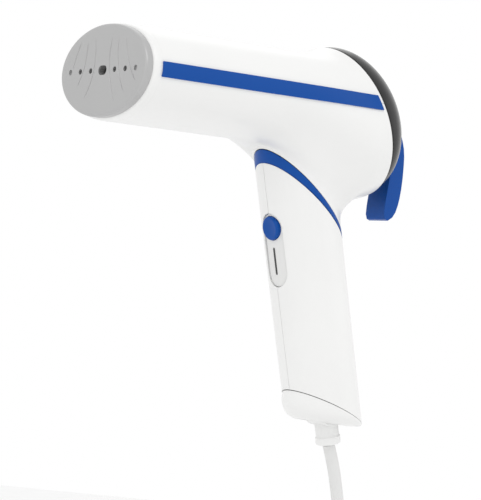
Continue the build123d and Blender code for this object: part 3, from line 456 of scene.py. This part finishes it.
# ---- pieces -----------------------------------------------------------------------------------------
def head_skin():
    """The head's outer skin: barrel, bulb and neck in one smooth surface, as an object."""
    s = sizes()
    base, tank, swivel = fold_place(), tank_place(), swivel_place()
    edge = -s.plate_reach + s.plate_thickness + s.collar_length
    rows = []
    for x in (edge, edge + 5, -108, -92, -76, -60, -50):
        half_y, half_z = barrel_half(x)
        middle = barrel_place(x).translation
        rows.append((middle + Vector((0, 0, half_z)), middle - Vector((0, 0, half_z)), half_y))
    patch = len(rows)
    for top, low, half_y in SHOULDER:
        rows.append((base @ Vector((top[0], 0, top[1])), base @ Vector((low[0], 0, low[1])), half_y))
    for along in (-5.0, -1.0, 0.0):
        top, low = (tank @ Vector((along, 0, side * s.bulb_radius)) for side in (1, -1))
        rows.append((top, low, s.bulb_radius))
    bm = bmesh.new()
    grid = []
    for top, low, half_y in rows:
        middle, up = (top + low) / 2, (top - low) / 2
        ring = [middle + ROUND * (Vector((0, half_y * math.cos(t), 0)) + up * math.sin(t))
                for t in (math.pi * j / 8 for j in range(16))]
        grid.append([bm.verts.new(p) for p in ring])
    for k in range(len(grid) - 1):
        for j in range(16):
            if patch <= k < patch + 4 and 10 <= j < 14:
                continue
            bm.faces.new((grid[k][j], grid[k][(j + 1) % 16], grid[k + 1][(j + 1) % 16], grid[k + 1][j]))
    border = [grid[patch + row][j] for row, j in BORDER]
    for v in [v for v in bm.verts if not v.link_faces]:
        bm.verts.remove(v)
    lean, half_ring = skew()
    fall = (s.ring_front - s.ring_rear) / 2 / half_ring
    last = border
    for share, flare in ((1.0, 1.03), (0.4, 1.0), (0.0, 1.0)):
        ring = []
        for k in range(16):
            t = math.pi * k / 8
            low = (s.ring_front + s.ring_rear) / 2 + 0.3 - fall * half_ring * math.cos(t) * 1.05
            high = 9.0 + 3.0 * math.cos(t)
            h = low + (high - low) * share
            ring.append(bm.verts.new(swivel @ Vector((half_ring * ROUND * flare * math.cos(t) + lean * h,
                                                      s.handle_width / 2 * ROUND * flare * math.sin(t), h))))
        strip(bm, last, ring)
        last = ring
    shape = finish_mesh("head_skin", bm, 60)
    layer = shape.modifiers.new("round", "SUBSURF")
    layer.levels = layer.render_levels = 3
    bake(shape, 60)
    return shape


def cut_skin(source, name, cuts):
    """A piece of the head's skin between planes, each a point and normal in a frame."""
    bm = bmesh.new()
    bm.from_mesh(source.data)
    bmesh.ops.scale(bm, verts=bm.verts, vec=(1000, 1000, 1000))
    for place, point, normal in cuts:
        keep_side(bm, place, point, normal)
    return finish_mesh(name, bm, 60)


class SteamerPiece:
    """Shared by all the operators."""
    bl_options = {"REGISTER", "UNDO"}


class STEAMER_OT_cord(SteamerPiece, bpy.types.Operator):
    """Build the mains cord, its tie, plug and blades"""
    bl_idname = "steamer.cord"
    bl_label = "Cord and plug"

    def execute(self, context):
        s = sizes()
        half = s.hank_straight / 2
        x0, z0 = s.hank_x, -s.hank_top - half
        points = [Vector(p) for p in CORD_DROP]
        steps = 10
        for lap, (r, y) in enumerate(HANK_LAPS[:-1]):
            for z in (half - 8, half - 26, 0, -half + 14):
                points.append(Vector((x0 + r, y, z0 + z)))
            for i in range(steps + 1):
                t = math.pi * i / steps
                points.append(Vector((x0 + r * math.cos(t), y, z0 - half - r * math.sin(t))))
            for z in (-half + 14, 0, half - 14):
                points.append(Vector((x0 - r, y, z0 + z)))
            next_r, next_y = HANK_LAPS[lap + 1]
            for i in range(steps + 1):
                t, share = math.pi * i / steps, i / steps
                now = r + (next_r - r) * share
                points.append(Vector((x0 - now * math.cos(t), y + (next_y - y) * share,
                                      z0 + half + now * math.sin(t))))
        r, y = HANK_LAPS[-1]
        for z in (half - 14, 0, -half + 14, -half - 4):
            points.append(Vector((x0 + r, y, z0 + z)))
        tail = Vector((x0 + 24.8, 0, z0 - half - 24.8 * 0.55 - 34.0))
        points += [tail + Vector((2.0, 0, 22)), tail + Vector((0.2, 0, 10)), tail + Vector((0, 0, -6))]
        curve = bpy.data.curves.new("mains_cord", "CURVE")
        curve.dimensions = "3D"
        spline = curve.splines.new("NURBS")
        spline.points.add(len(points) - 1)
        for control, p in zip(spline.points, points):
            control.co = (p.x / 1000, p.y / 1000, p.z / 1000, 1.0)
            control.radius = POINT_WEIGHT
        spline.order_u = 3
        spline.use_endpoint_u = True
        curve.resolution_u = 5
        curve.bevel_depth = s.cord_radius / 1000 / POINT_WEIGHT
        curve.bevel_resolution = 5
        curve.use_fill_caps = True
        cord = bpy.data.objects.new("mains_cord", curve)
        context.scene.collection.objects.link(cord)
        place_piece(cord, "cord", ("cord_tube", "cord_hank", "cord_tail"), "white PVC sheath")

        bm = bmesh.new()
        outer, inner = (33.4, 12.2), (31.6, 10.4)
        middle = Matrix.Translation((x0, 0, z0))
        rings = [rounded(shift(middle, z=z), half_x, half_y, 7.0, 8)
                 for half_x, half_y, z in ((*inner, -6), (*outer, -6), (*outer, 6), (*inner, 6), (*inner, -6))]
        skin(bm, rings)
        block(bm, Matrix.Translation((x0 + 4, -12.6, z0)), (24, 1.0, 11))
        tie = finish_mesh("cord_strap", bm)
        soften(tie, 0.3, 2)
        place_piece(tie, "cord", ("cord_tie",), "black hook-and-loop")

        bm = bmesh.new()
        top = tail.z
        ribs = [(0, 4.5), (-2.0, 4.6)]
        for i in range(6):
            z = -3.0 - i * 3.0
            ribs += [(z - down, r + i * 0.34) for down, r in ((0, 4.8), (0.4, 4.2), (1.4, 4.2), (1.8, 5.0))]
        ribs += [(-22.5, 6.9)]
        lathe(bm, Matrix.Translation((tail.x, 0, top)), ribs)
        rings = []
        for z, shrink, corner in ((-20.0, 4.5, 3.0), (-20.6, 2.4, 4.0), (-22.4, 0.7, 5.0), (-25.0, 0.0, 5.0),
                                  (-52.0, 0.0, 5.0), (-53.4, 0.3, 4.8), (-54.0, 1.2, 4.0)):
            level = Matrix.Translation((tail.x, 0, top + z))
            rings.append(rounded(level, 9.0 - shrink, 12.5 - shrink, corner, 6))
        skin(bm, rings, True, True)
        plug = finish_mesh("mains_plug", bm)
        place_piece(plug, "cord", ("plug_body",), "white PVC sheath")

        bm = bmesh.new()
        for side in (-1, 1):
            block(bm, Matrix.Translation((tail.x, side * 6.35, top - 54.0 - 8.5)), (6.3, 1.5, 17.0))
        blades = finish_mesh("plug_blades", bm)
        soften(blades, 0.45, 3)
        place_piece(blades, "cord", ("plug_pins",), "nickelled brass")
        return {"FINISHED"}


class STEAMER_OT_head(SteamerPiece, bpy.types.Operator):
    """Build the head's shells, stripes and collar"""
    bl_idname = "steamer.head"
    bl_label = "Head shells"

    def execute(self, context):
        s = sizes()
        source, axis, tank = head_skin(), barrel_axis(), tank_place()
        for name, side in (("upper_shell_skin", 1), ("lower_shell_skin", -1)):
            shell = cut_skin(source, name, [(axis, (0, 0, side * 0.1), (0, 0, side))])
            thicken(shell, s.shell_wall)
            node = "upper_shell" if side > 0 else "lower_shell"
            place_piece(shell, "head", (node,), "moulded white ABS")
        half = s.stripe_height / 2
        stripe = cut_skin(source, "side_stripes", [
            (axis, (0, 0, half), (0, 0, -1)), (axis, (0, 0, -half), (0, 0, 1)),
            (tank, (-2.0, 0, 0), (-1, 0, 0)), (axis, (6.4, 0, 0), (1, 0, 0))])
        layer = stripe.modifiers.new("wall", "SOLIDIFY")
        layer.thickness, layer.offset = 0.0011, 0.55
        bake(stripe)
        place_piece(stripe, "head", ("stripe_left", "stripe_right"), "moulded blue ABS")
        bpy.data.objects.remove(source)

        bm = bmesh.new()
        face = -s.plate_reach + s.plate_thickness
        back = face + s.collar_length
        outline = [(back, 5.0), (back, 0.05), (back - 1.5, 0.0), (back - 3.0, 0.12), (back - 3.9, 0.45),
                   (face + 0.4, 1.0), (face + 0.08, 1.7), (face, 2.6), (face, 5.0)]
        rings = [oval(barrel_place(x), *barrel_half(x, inset)) for x, inset in outline]
        skin(bm, rings + [rings[0]])
        collar = finish_mesh("front_ring", bm)
        place_piece(collar, "head", ("front_collar",), "moulded white ABS")
        return {"FINISHED"}


class STEAMER_OT_plate(SteamerPiece, bpy.types.Operator):
    """Build the steam plate, with its vents, dimples and grooves"""
    bl_idname = "steamer.plate"
    bl_label = "Steam plate"

    def execute(self, context):
        s = sizes()
        face = -s.plate_reach
        bm = bmesh.new()
        profile = [(face + s.plate_thickness, 0.0), (face + 1.3, 0.0), (face + 0.75, 0.12), (face + 0.3, 0.5),
                   (face + 0.06, 1.1), (face, 1.7)]
        rings = [oval(barrel_place(x), *barrel_half(x, s.plate_inset + inset)) for x, inset in profile]
        skin(bm, rings, True, True)
        plate = finish_mesh("steam_sole", bm)
        middle = barrel_place(face)
        tool, bore = bmesh.new(), s.vent_radius + 0.1
        for side in (-1, 1):
            for offset, depth in ((10.9, 9.0), (20.4, 9.0), (29.6, 0.9)):
                lathe(tool, shift(middle, side * offset), [(-3.0, bore), (depth, bore)])
        rings = [[middle @ Vector((x, y, z)) for y, x in capsule(7.3, 4.9)] for z in (-3.0, 9.0)]
        skin(tool, rings, True, True)
        carve(plate, finish_mesh("vent_tool", tool))
        tool = bmesh.new()
        for groove in GROOVES:
            count = 26
            rings = []
            for i in range(count + 1):
                u = i / count * (len(groove) - 1)
                k = min(int(u), len(groove) - 2)
                p0, p1 = Vector(groove[max(k - 1, 0)]), Vector(groove[k])
                p2, p3 = Vector(groove[k + 1]), Vector(groove[min(k + 2, len(groove) - 1)])
                f = u - k
                at = 0.5 * ((2 * p1) + (p2 - p0) * f + (2 * p0 - 5 * p1 + 4 * p2 - p3) * f * f
                            + (3 * p1 - p0 - 3 * p2 + p3) * f ** 3)
                way = (p2 - p1).normalized()
                sidewise = Vector((way.y, -way.x))
                wide = 0.42 * min(1.0, 6 * min(i, count - i) / count + 0.12)
                ring = []
                for t in (math.pi * j / 4 for j in range(8)):
                    spot = at + sidewise * wide * math.cos(t)
                    ring.append(middle @ Vector((spot.x, spot.y, wide * 0.9 * math.sin(t))))
                rings.append(ring)
            skin(tool, rings, True, True)
        carve(plate, finish_mesh("groove_tool", tool))
        place_piece(plate, "head", ("steam_plate",), "coated aluminium plate")
        return {"FINISHED"}


class STEAMER_OT_tank(SteamerPiece, bpy.types.Operator):
    """Build the smoked water tank and its lever"""
    bl_idname = "steamer.tank"
    bl_label = "Water tank and lever"

    def execute(self, context):
        s = sizes()
        place = tank_place() @ Matrix.Rotation(math.pi / 2, 4, "Y")
        radius, wall = s.bulb_radius - 0.5, 1.8
        neck = s.bulb_radius - 3.6
        outer = [(-14.0, neck - 0.6), (-13.4, neck), (0.4, neck), (0.4, radius - 0.6), (0.55, radius - 0.15),
                 (0.9, radius)]
        outer += [(0.4 + s.dome_depth * math.sin(a), radius * math.cos(a))
                  for a in (math.radians(d) for d in range(4, 90, 4))]
        inner = [(0.4 + (s.dome_depth - wall) * math.sin(a), (neck - wall) * math.cos(a))
                 for a in (math.radians(d) for d in range(88, -1, -4))] + [(-14.0, neck - wall)]
        bm = bmesh.new()
        apex = s.dome_depth + 0.4
        profile = inner + outer + [(apex - 0.01, 0.6)]
        skin(bm, [oval(shift(place, z=h), r, r) for h, r in profile], True, True)
        dome = finish_mesh("tank_dome", bm)
        tool = bmesh.new()
        lathe(tool, shift(place, 20.0, 0, 8), [(0, 7.0), (30, 7.0)])
        carve(dome, finish_mesh("filler_tool", tool))
        place_piece(dome, "tank", ("water_tank",), "smoked polycarbonate")

        bm = bmesh.new()
        half = s.lever_width / 2
        sides = [[tank_place() @ Vector((x, y, z)) for x, z in LEVER] for y in (-half, half)]
        skin(bm, sides, True, True)
        lever = finish_mesh("tank_lever", bm, 30)
        tool = bmesh.new()
        block(tool, shift(tank_place(), 23.1, 0, -8.0), (20, 11.4, 12))
        lathe(tool, shift(place, 20.0, 0, 10.9), [(0, 5.4), (11.5, 5.4), (11.5, 4.1), (18, 4.1)])
        carve(lever, finish_mesh("lever_tool", tool))
        soften(lever, 0.9, 3)
        place_piece(lever, "cap", ("filler_cap",), "moulded blue ABS")
        return {"FINISHED"}


class STEAMER_OT_ring(SteamerPiece, bpy.types.Operator):
    """Build the slanted fold ring"""
    bl_idname = "steamer.ring"
    bl_label = "Fold ring"

    def execute(self, context):
        s = sizes()
        lean, half_ring = skew()
        fall = (s.ring_front - s.ring_rear) / 2 / half_ring
        rings = []
        for inset, share in ((s.ring_wall, 0.0), (0.5, 0.0), (0.12, 0.05), (0.0, 0.14),
                             (0.0, 0.86), (0.12, 0.95), (0.5, 1.0), (s.ring_wall, 1.0)):
            ring = []
            for i in range(SIDES):
                t = 2 * math.pi * i / SIDES
                tall = (s.ring_front + s.ring_rear) / 2 - fall * half_ring * math.cos(t)
                h = 0.25 + tall * share
                ring.append(swivel_place() @ Vector(((half_ring - inset) * math.cos(t) + lean * h,
                                                     (s.handle_width / 2 - inset) * math.sin(t), h)))
            rings.append(ring)
        bm = bmesh.new()
        skin(bm, rings + [rings[0]])
        ring = finish_mesh("fold_ring", bm)
        place_piece(ring, "head", ("swivel_ring",), "moulded blue ABS")
        return {"FINISHED"}


def front_depth(v, inset):
    """How far ahead of the handle's axis its front skin lies, at a side distance."""
    s = sizes()
    return -(s.handle_depth / 2 - inset) * math.sqrt(max(0.0, 1 - (v / (s.handle_width / 2 - inset)) ** 2))


class STEAMER_OT_handle(SteamerPiece, bpy.types.Operator):
    """Build the handle's two halves, the panel, button and lens"""
    bl_idname = "steamer.handle"
    bl_label = "Handle and button"

    def execute(self, context):
        s = sizes()
        place = handle_place()
        foot = shift(place, z=-s.handle_length) @ Matrix.Rotation(s.foot_angle, 4, "Y")
        middle = -(s.button_drop - s.panel_width / 2 + s.panel_length / 2)
        for name, node, side in (("handle_half_left", "handle_left", 1),
                                 ("handle_half_right", "handle_right", -1)):
            bm = bmesh.new()
            rings = []
            for i in range(45):
                z = 32 - i * 4
                less = s.handle_taper * max(0.0, -z) / s.handle_length
                rings.append(oval(shift(place, z=z), s.handle_depth / 2 - less, s.handle_width / 2 - less))
            skin(bm, rings)
            keep_side(bm, swivel_place(), (0, 0, -0.2), (0, 0, -1))
            keep_side(bm, foot, (0, 0, 0), (0, 0, 1))
            keep_side(bm, place, (0, side * 0.12, 0), (0, side, 0))
            half = finish_mesh(name, bm, 50)
            thicken(half, s.shell_wall)
            tool = bmesh.new()
            outline = capsule(s.panel_length + 0.2, s.panel_width + 0.2, 24)
            rings = [[place @ Vector((x, v, middle + u)) for v, u in outline] for x in (-40.0, -6.0)]
            skin(tool, rings, True, True)
            carve(half, finish_mesh("panel_tool", tool))
            soften(half, 0.28, 2)
            place_piece(half, "handle", (node,), "moulded white ABS")

        bm = bmesh.new()
        rings = []
        outline = capsule(s.panel_length - 0.2, s.panel_width - 0.2, 24)
        for share, deep in ((0.97, 3.4), (1.0, 3.0), (1.0, 0.5), (0.985, 0.12), (0.95, 0.0), (0.8, 0.0),
                            (0.6, 0.0), (0.4, 0.0), (0.2, 0.0), (0.03, 0.0)):
            rings.append([place @ Vector((front_depth(v * share, s.panel_recess) + deep, v * share,
                                          middle + u * share)) for v, u in outline])
        skin(bm, rings, True, True)
        panel = finish_mesh("button_panel", bm, 50)
        tool, hole = bmesh.new(), s.button_radius + 0.25
        lathe(tool, front_place(s.button_drop), [(10.0, hole), (30.0, hole)])
        carve(panel, finish_mesh("button_tool", tool))
        place_piece(panel, "handle", ("front_panel",), "pale ABS panel")

        bm = bmesh.new()
        rings = []
        outline = capsule(s.lens_length, s.lens_width, 10)
        for share, deep in ((1.0, 2.6), (1.0, 0.1), (0.8, -0.1), (0.3, -0.15)):
            x, stretch = front_depth(0, s.panel_recess) + deep, 0.9 + 0.1 * share
            rings.append([place @ Vector((x, v * share, -s.lens_drop + u * stretch)) for v, u in outline])
        skin(bm, rings, True, True)
        lens = finish_mesh("lamp_lens", bm)
        place_piece(lens, "handle", ("led_lens",), "smoked lens")

        bm = bmesh.new()
        r, front = s.button_radius, s.handle_depth / 2 + 0.55
        dish = ((5.0, 0.0), (1.0, 0.0), (0.45, 0.12), (0.12, 0.45), (0.0, 0.95), (0.12, 1.8), (0.32, 3.2),
                (0.42, 5.0), (0.45, r - 0.3))
        lathe(bm, front_place(s.button_drop), [(front - down, r - inset) for down, inset in dish])
        button = finish_mesh("press_button", bm)
        place_piece(button, "button", ("steam_button",), "moulded blue ABS")
        return {"FINISHED"}


class STEAMER_OT_foot(SteamerPiece, bpy.types.Operator):
    """Build the handle's foot cap and the cord's knuckle"""
    bl_idname = "steamer.foot"
    bl_label = "Foot and cord knuckle"

    def execute(self, context):
        s = sizes()
        place = handle_place()
        wide = s.handle_depth / 2 - s.handle_taper
        rings = []
        for i in range(13):
            t = i / 12
            shape = math.sqrt(1 - (0.985 * t) ** 2)
            tilt = s.foot_angle * (1 - 0.45 * t)
            where = shift(place, -2.5 * t, 0, -s.handle_length - 0.3 - 7.2 * t) @ Matrix.Rotation(tilt, 4, "Y")
            half_long = 13.5 + (wide / math.cos(s.foot_angle) - 13.8) * shape
            rings.append(oval(where, half_long, 12.0 + (s.handle_width / 2 - 12.8) * shape))
        bm = bmesh.new()
        skin(bm, rings, True, True)
        cap = finish_mesh("foot_cover", bm, 50)
        pivot = shift(place, s.knuckle_back, 0, -s.knuckle_drop)
        side = pivot @ Matrix.Rotation(math.pi / 2, 4, "X")
        half = s.knuckle_width / 2 + 0.5
        tool = bmesh.new()
        lathe(tool, side, [(-half, s.knuckle_radius + 0.8), (half, s.knuckle_radius + 0.8)])
        carve(cap, finish_mesh("knuckle_tool", tool))
        tool = bmesh.new()
        block(tool, shift(pivot, z=-20), (34, 2 * half, 40))
        carve(cap, finish_mesh("swing_tool", tool))
        soften(cap, 0.4, 2)
        place_piece(cap, "handle", ("foot_cap",), "moulded white ABS")

        bm = bmesh.new()
        w, r = s.knuckle_width / 2, s.knuckle_radius
        lathe(bm, side, [(-w, r - 1.0), (-w + 0.3, r - 0.3), (-w + 1.0, r), (w - 1.0, r), (w - 0.3, r - 0.3),
                         (w, r - 1.0)])
        lathe(bm, pivot, [(-5.0, 6.6), (-13.8, 6.4), (-15.4, 6.4), (-15.7, 6.6), (-16.0, 6.9), (-19.3, 6.9),
                          (-19.9, 6.7), (-20.2, 6.2), (-20.2, 3.6), (-19.4, 3.5)])
        knuckle = finish_mesh("cord_knuckle", bm)
        place_piece(knuckle, "cord", ("cord_guard",), "moulded white ABS")
        return {"FINISHED"}


class STEAMER_OT_stage(SteamerPiece, bpy.types.Operator):
    """Build the camera, the lights and the floor"""
    bl_idname = "steamer.stage"
    bl_label = "Camera and stage"

    def execute(self, context):
        a, e, roll = (math.radians(v) for v in CAMERA_TURN)
        back = Vector((math.sin(a) * math.cos(e), -math.cos(a) * math.cos(e), math.sin(e)))
        right = Vector((math.cos(a), math.sin(a), 0))
        up = back.cross(right)
        side = math.cos(roll) * right + math.sin(roll) * up
        top = -math.sin(roll) * right + math.cos(roll) * up
        aim = fold_place().translation - side * CAMERA_SHIFT[0] - top * CAMERA_SHIFT[1]
        spot = (aim + back * CAMERA_AWAY) / 1000
        lens = bpy.data.cameras.new("camera")
        lens.lens, lens.sensor_width, lens.sensor_fit = 158.67, 36.0, "AUTO"
        lens.clip_start, lens.clip_end = 0.05, 30.0
        camera = bpy.data.objects.new("camera", lens)
        camera.matrix_world = Matrix((side, top, back)).transposed().to_4x4()
        camera.location = spot
        context.scene.collection.objects.link(camera)
        context.scene.camera = camera

        for name, at, size, power in (("key light", (-0.9, -1.5, 1.9), 1.5, 9),
                                      ("fill light", (1.6, -1.3, 0.5), 1.6, 2),
                                      ("front light", (-1.9, -0.1, 0.35), 1.1, 1),
                                      ("rim light", (0.7, 1.4, 1.5), 1.2, 2)):
            lamp = bpy.data.lights.new(name, "AREA")
            lamp.energy, lamp.size = power, size
            light = bpy.data.objects.new(name, lamp)
            light.location = at
            light.rotation_euler = (Vector((0, 0, 0.05)) - Vector(at)).to_track_quat("-Z", "Y").to_euler()
            context.scene.collection.objects.link(light)

        context.scene.view_settings.view_transform = "Standard"
        world = bpy.data.worlds.new("soft studio")
        context.scene.world = world
        world.use_nodes = True
        world.node_tree.nodes["Background"].inputs["Color"].default_value = linear("#FFFFFF")
        world.node_tree.nodes["Background"].inputs["Strength"].default_value = 1.0

        bm = bmesh.new()
        bmesh.ops.create_circle(bm, cap_ends=True, segments=64, radius=FLOOR_RADIUS,
                                matrix=Matrix.Translation((0, 0, -FLOOR_DROP)))
        floor = finish_mesh("studio_floor", bm)
        material = stuff("painted studio floor", colours().floor, 0.8, 2.0, 0.05)
        floor.data.materials.append(material)
        return {"FINISHED"}


class STEAMER_PT_panel(bpy.types.Panel):
    """Sizes, colours and build buttons of the steamer"""
    bl_label = "Garment steamer"
    bl_space_type = "VIEW_3D"
    bl_region_type = "UI"
    bl_category = "Steamer"

    def draw(self, context):
        for group in (context.scene.steamer_sizes, context.scene.steamer_colours):
            box = self.layout.box()
            for name in group.bl_rna.properties.keys():
                if name not in ("rna_type", "name"):
                    box.prop(group, name)
        for operator in OPERATORS:
            self.layout.operator(operator.bl_idname)


OPERATORS = (STEAMER_OT_stage, STEAMER_OT_cord, STEAMER_OT_head, STEAMER_OT_plate, STEAMER_OT_tank,
             STEAMER_OT_ring, STEAMER_OT_handle, STEAMER_OT_foot)
CLASSES = (SteamerSizes, SteamerColours, *OPERATORS, STEAMER_PT_panel)


def register():
    for item in CLASSES:
        bpy.utils.register_class(item)
    bpy.types.Scene.steamer_sizes = bpy.props.PointerProperty(type=SteamerSizes)
    bpy.types.Scene.steamer_colours = bpy.props.PointerProperty(type=SteamerColours)


def unregister():
    del bpy.types.Scene.steamer_colours
    del bpy.types.Scene.steamer_sizes
    for item in reversed(CLASSES):
        bpy.utils.unregister_class(item)


def main():
    """Builds the whole steamer."""
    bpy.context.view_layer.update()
    register()
    make_materials()
    dress_frame()
    steamer = bpy.ops.steamer
    for build in (steamer.stage, steamer.cord, steamer.head, steamer.plate, steamer.tank, steamer.ring,
                  steamer.handle, steamer.foot):
        build()
    bpy.context.view_layer.update()


if __name__ == "__main__":
    main()
